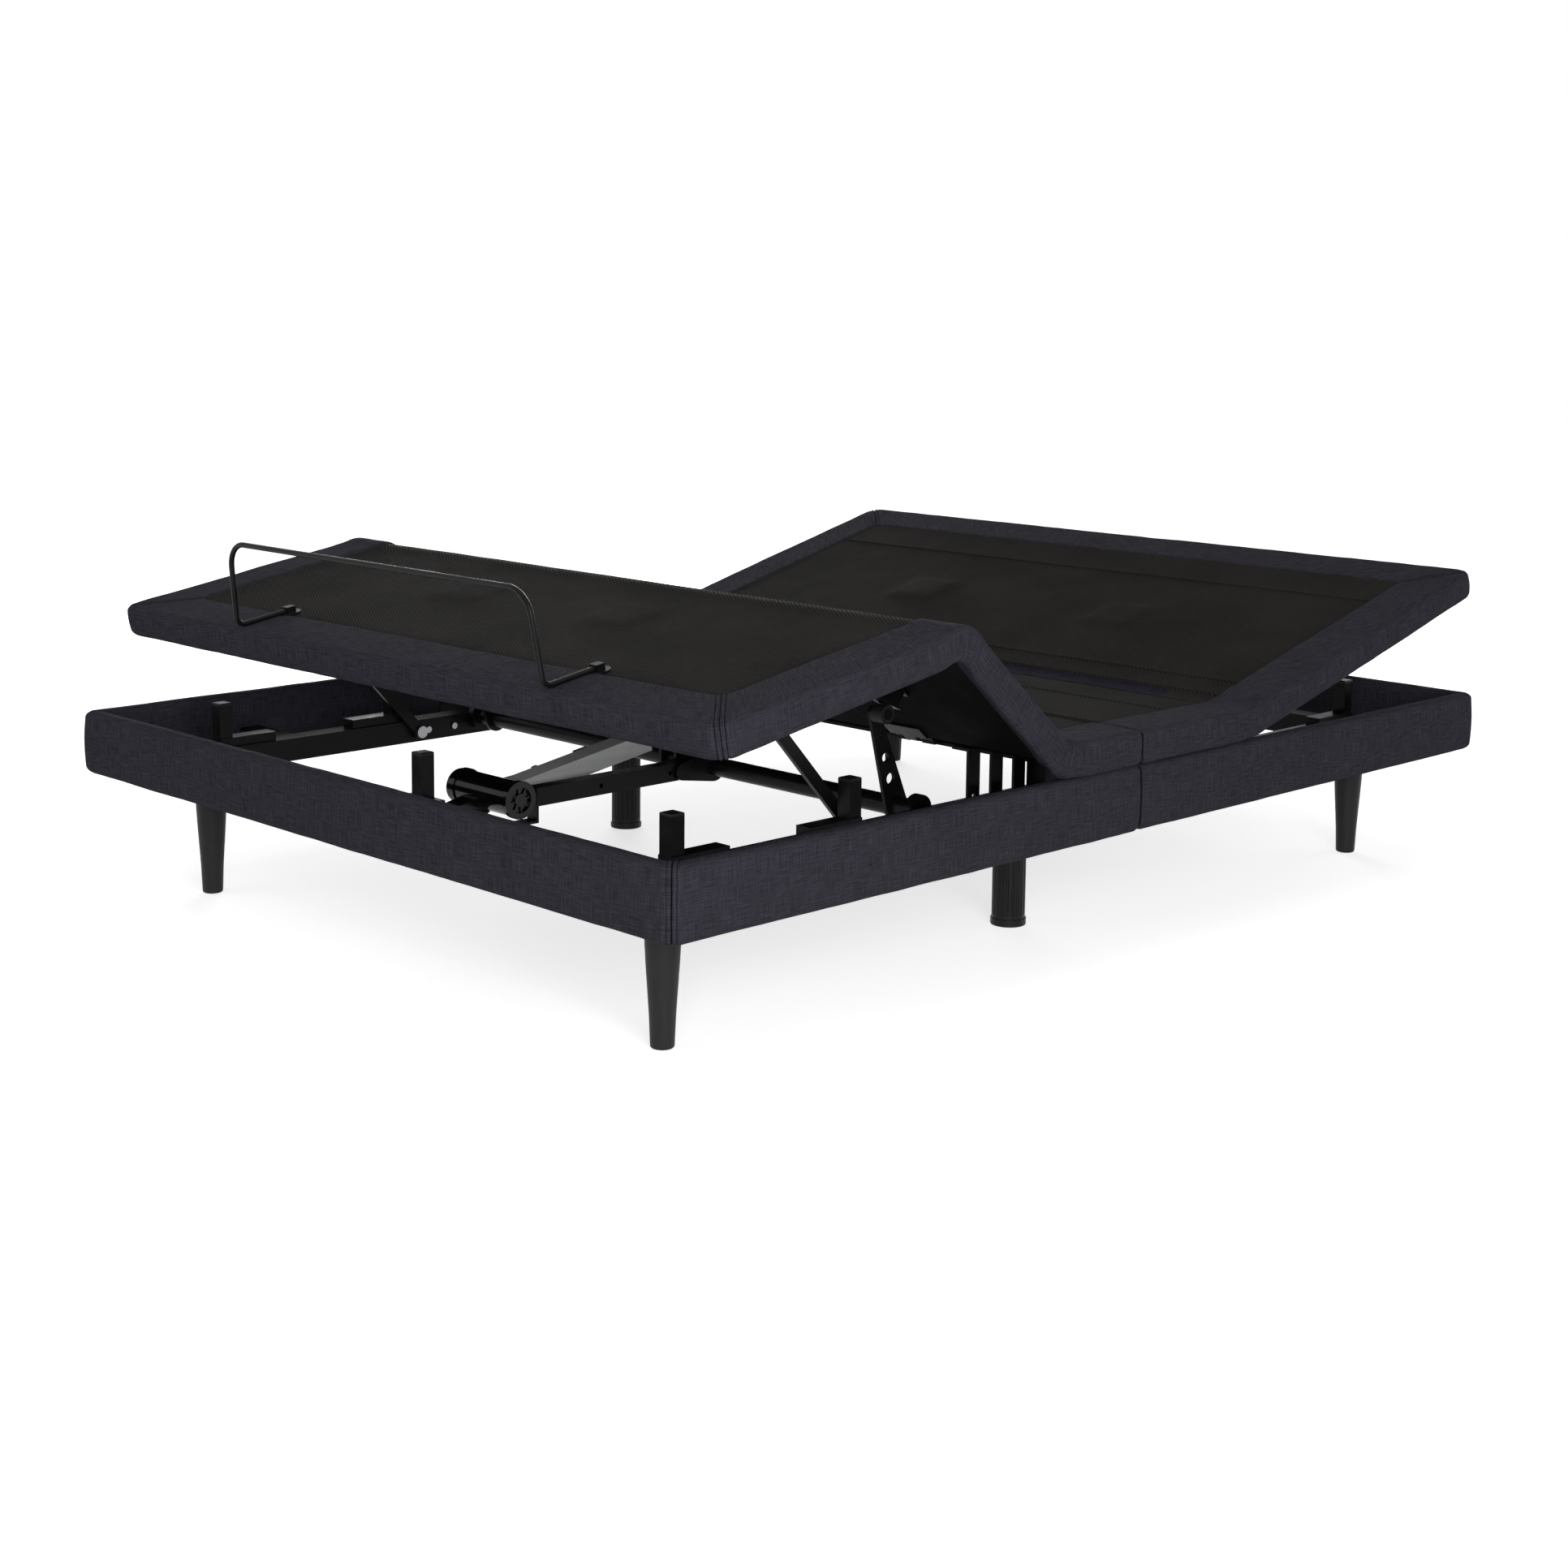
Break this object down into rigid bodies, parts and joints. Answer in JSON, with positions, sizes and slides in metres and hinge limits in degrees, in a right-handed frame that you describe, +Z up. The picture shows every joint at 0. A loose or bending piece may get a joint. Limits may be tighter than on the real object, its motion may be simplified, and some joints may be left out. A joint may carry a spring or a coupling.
{
  "type": "adjustable bed base",
  "caption": "Adjustable bed base: upholstered surround on tapered legs, steel lift frame, and a hinged padded deck that raises the head and the knees.",
  "frame": {"origin": "centre of the bounding box, at floor level", "axes": "+Z up; +Y towards the head end; X across the width"},
  "size_m": [1.524, 2.032, 0.6388],
  "materials": {
    "upholstery": "woven linen-look cloth",
    "deck_mesh": "non-slip mesh",
    "black_board": "black-faced board",
    "painted_leg": "satin charcoal paint",
    "black_plastic": "fine-grained moulding",
    "roller_plastic": "smooth",
    "grey_aluminium": "extruded, satin",
    "bright_steel": "zinc plated",
    "lead_rubber": "cable sheath",
    "black_steel": "black powder coat"
  },
  "bodies": {
    "base": {"rail_boards_foot": "black_board", "rail_cover_foot": "upholstery", "rail_boards_head": "black_board", "rail_cover_head": "upholstery", "side_tubes_foot": "black_steel", "side_tubes_head": "black_steel", "cross_bars_foot": "black_steel", "cross_bars_head": "black_steel", "centre_beams": "black_steel", "torque_bearings": "black_steel", "splice_plates": "black_steel", "frame_bolts": "bright_steel", "rail_brackets": "black_steel", "corner_legs": "painted_leg", "mid_legs": "black_plastic", "leg_plates": "black_steel", "leg_glides": "black_plastic", "deck_posts": "black_steel", "post_caps": "black_plastic", "seat_brackets": "black_steel", "control_box": "black_plastic", "seat_pads": "upholstery", "seat_boards": "black_board", "seat_mesh": "deck_mesh", "seat_hinge_leaves": "black_steel", "motor_mounts": "black_steel", "strut_bolts": "bright_steel"},
    "head_panel": {"head_pad": "upholstery", "head_board": "black_board", "head_mesh": "deck_mesh", "head_massage_units": "black_plastic", "head_hinge_leaves": "black_steel", "head_tracks": "black_steel"},
    "thigh_panel": {"thigh_pad": "upholstery", "thigh_board": "black_board", "thigh_mesh": "deck_mesh", "thigh_hinge_leaves": "black_steel", "thigh_tracks": "black_steel"},
    "foot_panel": {"foot_pad": "upholstery", "foot_board": "black_board", "foot_mesh": "deck_mesh", "foot_massage_units": "black_plastic", "foot_hinge_leaves": "black_steel", "strut_brackets": "black_steel", "retainer_bar": "black_steel", "retainer_clips": "bright_steel"},
    "strut_left": {"strut_left": "black_steel"},
    "strut_right": {"strut_right": "black_steel"},
    "leg_lift_arms": {"leg_lift_bar": "black_steel"},
    "leg_roller_pair": {"leg_rollers": "roller_plastic"},
    "leg_actuator": {"leg_motor": "black_plastic", "leg_channel": "grey_aluminium", "leg_motor_lead": "lead_rubber"},
    "leg_push_rod": {"leg_rod": "bright_steel"},
    "head_lift_arms": {"head_lift_bar": "black_steel"},
    "head_roller_pair": {"head_rollers": "roller_plastic"},
    "head_actuator": {"head_motor": "black_plastic", "head_channel": "grey_aluminium"},
    "head_push_rod": {"head_rod": "bright_steel"}
  },
  "joints": [
    {"name": "head_lift", "type": "hinge", "parent": "base", "child": "head_panel", "pos_m": [0, 0.298, 0.344], "axis": [1, 0, 0], "range_deg": [-14.6, 45.4]},
    {"name": "leg_lift", "type": "hinge", "parent": "base", "child": "thigh_panel", "pos_m": [0, -0.202, 0.344], "axis": [-1, 0, 0], "range_deg": [-41.2, 3.8]},
    {"name": "knee", "type": "hinge", "parent": "thigh_panel", "child": "foot_panel", "pos_m": [0, -0.43751, 0.55017], "axis": [1, 0, 0], "range_deg": [-51.69, 5.31]},
    {"name": "strut_swing_left", "type": "hinge", "parent": "base", "child": "strut_left", "pos_m": [-0.552, -0.452, 0.236], "axis": [-1, 0, 0], "range_deg": [-36.44, 3.91]},
    {"name": "strut_swing_right", "type": "hinge", "parent": "base", "child": "strut_right", "pos_m": [0.552, -0.452, 0.236], "axis": [-1, 0, 0], "range_deg": [-36.44, 3.91]},
    {"name": "leg_arms_turn", "type": "hinge", "parent": "base", "child": "leg_lift_arms", "pos_m": [0, -0.31, 0.25], "axis": [-1, 0, 0], "range_deg": [-62.4, 6.3]},
    {"name": "leg_rollers_roll", "type": "hinge", "parent": "leg_lift_arms", "child": "leg_roller_pair", "pos_m": [0, -0.36426, 0.40582], "axis": [-1, 0, 0], "range_deg": [-40.88, 437.32]},
    {"name": "leg_actuator_swing", "type": "hinge", "parent": "base", "child": "leg_actuator", "pos_m": [0, -0.797, 0.226], "axis": [1, 0, 0], "range_deg": [-4.39, 0.95]},
    {"name": "leg_rod_turn", "type": "hinge", "parent": "leg_lift_arms", "child": "leg_push_rod", "pos_m": [0, -0.32374, 0.30429], "axis": [1, 0, 0], "range_deg": [-66.19, 6.65]},
    {"name": "head_arms_turn", "type": "hinge", "parent": "base", "child": "head_lift_arms", "pos_m": [0, 0.388, 0.25], "axis": [1, 0, 0], "range_deg": [-16.66, 50.54]},
    {"name": "head_rollers_roll", "type": "hinge", "parent": "head_lift_arms", "child": "head_roller_pair", "pos_m": [0, 0.65976, 0.37707], "axis": [1, 0, 0], "range_deg": [-395.58, 127.62]},
    {"name": "head_actuator_swing", "type": "hinge", "parent": "base", "child": "head_actuator", "pos_m": [0, 0.797, 0.226], "axis": [-1, 0, 0], "range_deg": [-1.83, 4.41]},
    {"name": "head_rod_turn", "type": "hinge", "parent": "head_lift_arms", "child": "head_push_rod", "pos_m": [0, 0.43647, 0.27805], "axis": [-1, 0, 0], "range_deg": [-17.89, 54.35]}
  ],
  "couplings": [
    {"joint": "knee", "follows": "leg_lift", "ratio": 1.24},
    {"joint": "strut_swing_left", "follows": "leg_lift", "ratio": 0.87},
    {"joint": "strut_swing_right", "follows": "leg_lift", "ratio": 0.87},
    {"joint": "leg_arms_turn", "follows": "leg_lift", "ratio": 1.5},
    {"joint": "leg_rollers_roll", "follows": "leg_lift", "ratio": -10.6},
    {"joint": "leg_actuator_swing", "follows": "leg_lift", "ratio": 0.092},
    {"joint": "leg_rod_turn", "follows": "leg_lift", "ratio": 1.592},
    {"joint": "head_arms_turn", "follows": "head_lift", "ratio": 1.1},
    {"joint": "head_rollers_roll", "follows": "head_lift", "ratio": -8.7},
    {"joint": "head_actuator_swing", "follows": "head_lift", "ratio": 0.084},
    {"joint": "head_rod_turn", "follows": "head_lift", "ratio": 1.184}
  ]
}
